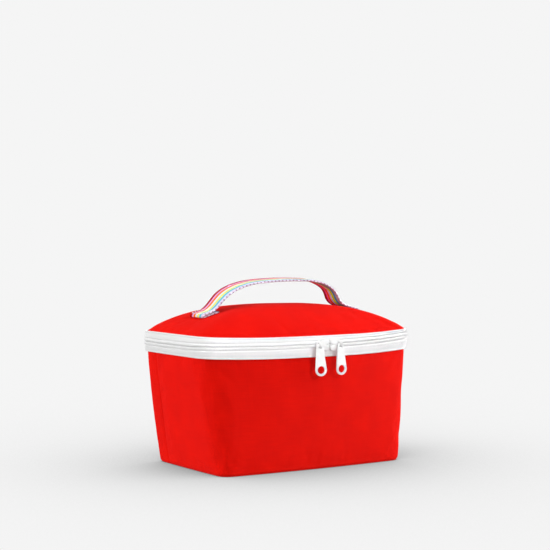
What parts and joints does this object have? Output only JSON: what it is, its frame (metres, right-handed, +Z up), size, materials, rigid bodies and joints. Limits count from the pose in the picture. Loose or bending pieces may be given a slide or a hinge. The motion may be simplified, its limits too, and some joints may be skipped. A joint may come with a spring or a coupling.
{
  "type": "insulated lunch box",
  "caption": "Soft insulated lunch box with a domed zipped lid, padded walls, a silver lining, two zip pulls and a striped webbing handle.",
  "frame": {"origin": "on the floor, in the middle of the footprint's box", "axes": "+Z up, +X along the long side, the zip pulls at -Y and the fabric hinge at +Y"},
  "size_m": [0.2472, 0.1602, 0.1811],
  "materials": {
    "red_polyester": "plain-woven polyester, matt",
    "zip_tape": "white woven tape",
    "zip_coil": "white moulded coil",
    "white_lacquer": "white gloss lacquer on die-cast metal",
    "silver_film": "silver wipe-clean film",
    "foam": "closed-cell padding",
    "striped_webbing": "woven stripes: dark red, pink, orange, white, yellow, sky blue, lilac"
  },
  "bodies": {
    "bag": {"front_wall_panel": "red_polyester", "back_wall_panel": "red_polyester", "base_panel": "red_polyester", "front_wall_foam": "foam", "back_wall_foam": "foam", "base_foam": "foam", "wall_lining": "silver_film", "base_lining": "silver_film", "rim_binding": "zip_tape", "lower_zip_tape": "zip_tape", "lower_zip_coil": "zip_coil", "zip_stop_left": "zip_coil", "zip_stop_right": "zip_coil", "fabric_hinge": "red_polyester"},
    "lid": {"lid_panel": "red_polyester", "lid_foam": "foam", "lid_lining": "silver_film", "lid_binding": "zip_tape", "upper_zip_tape": "zip_tape", "upper_zip_coil": "zip_coil", "handle_foot_left": "striped_webbing", "handle_foot_right": "striped_webbing"},
    "handle": {"handle_strap": "striped_webbing"},
    "slider_left": {"slider_left_body": "white_lacquer"},
    "slider_right": {"slider_right_body": "white_lacquer"},
    "pull_left": {"pull_tab_left": "white_lacquer"},
    "pull_right": {"pull_tab_right": "white_lacquer"}
  },
  "joints": [
    {"name": "lid_hinge", "type": "hinge", "parent": "bag", "child": "lid", "pos_m": [0, 0.08041, 0.1199], "axis": [-1, 0, 0], "range_deg": [0, 150], "deforming": ["fabric_hinge"]},
    {"name": "handle_sway", "type": "hinge", "parent": "lid", "child": "handle", "pos_m": [0, 0.00341, 0.16302], "axis": [1, 0, 0], "range_deg": [-20, 20], "stiffness_Nm_per_rad": 0.05},
    {"name": "slider_left_travel", "type": "hinge", "parent": "bag", "child": "slider_left", "pos_m": [0, 0.39351, 0.1199], "axis": [0, 0, -1], "range_deg": [0, 9]},
    {"name": "slider_right_travel", "type": "hinge", "parent": "bag", "child": "slider_right", "pos_m": [0, 0.39351, 0.1199], "axis": [0, 0, 1], "range_deg": [0, 6.9]},
    {"name": "pull_left_swing", "type": "hinge", "parent": "slider_left", "child": "pull_left", "pos_m": [-0.00265, -0.07803, 0.1204], "axis": [-0.9998, -0.0192, 0], "range_deg": [-8, 165]},
    {"name": "pull_right_swing", "type": "hinge", "parent": "slider_right", "child": "pull_right", "pos_m": [0.02075, -0.07758, 0.1204], "axis": [-0.9998, -0.0192, 0], "range_deg": [-8, 165]}
  ]
}
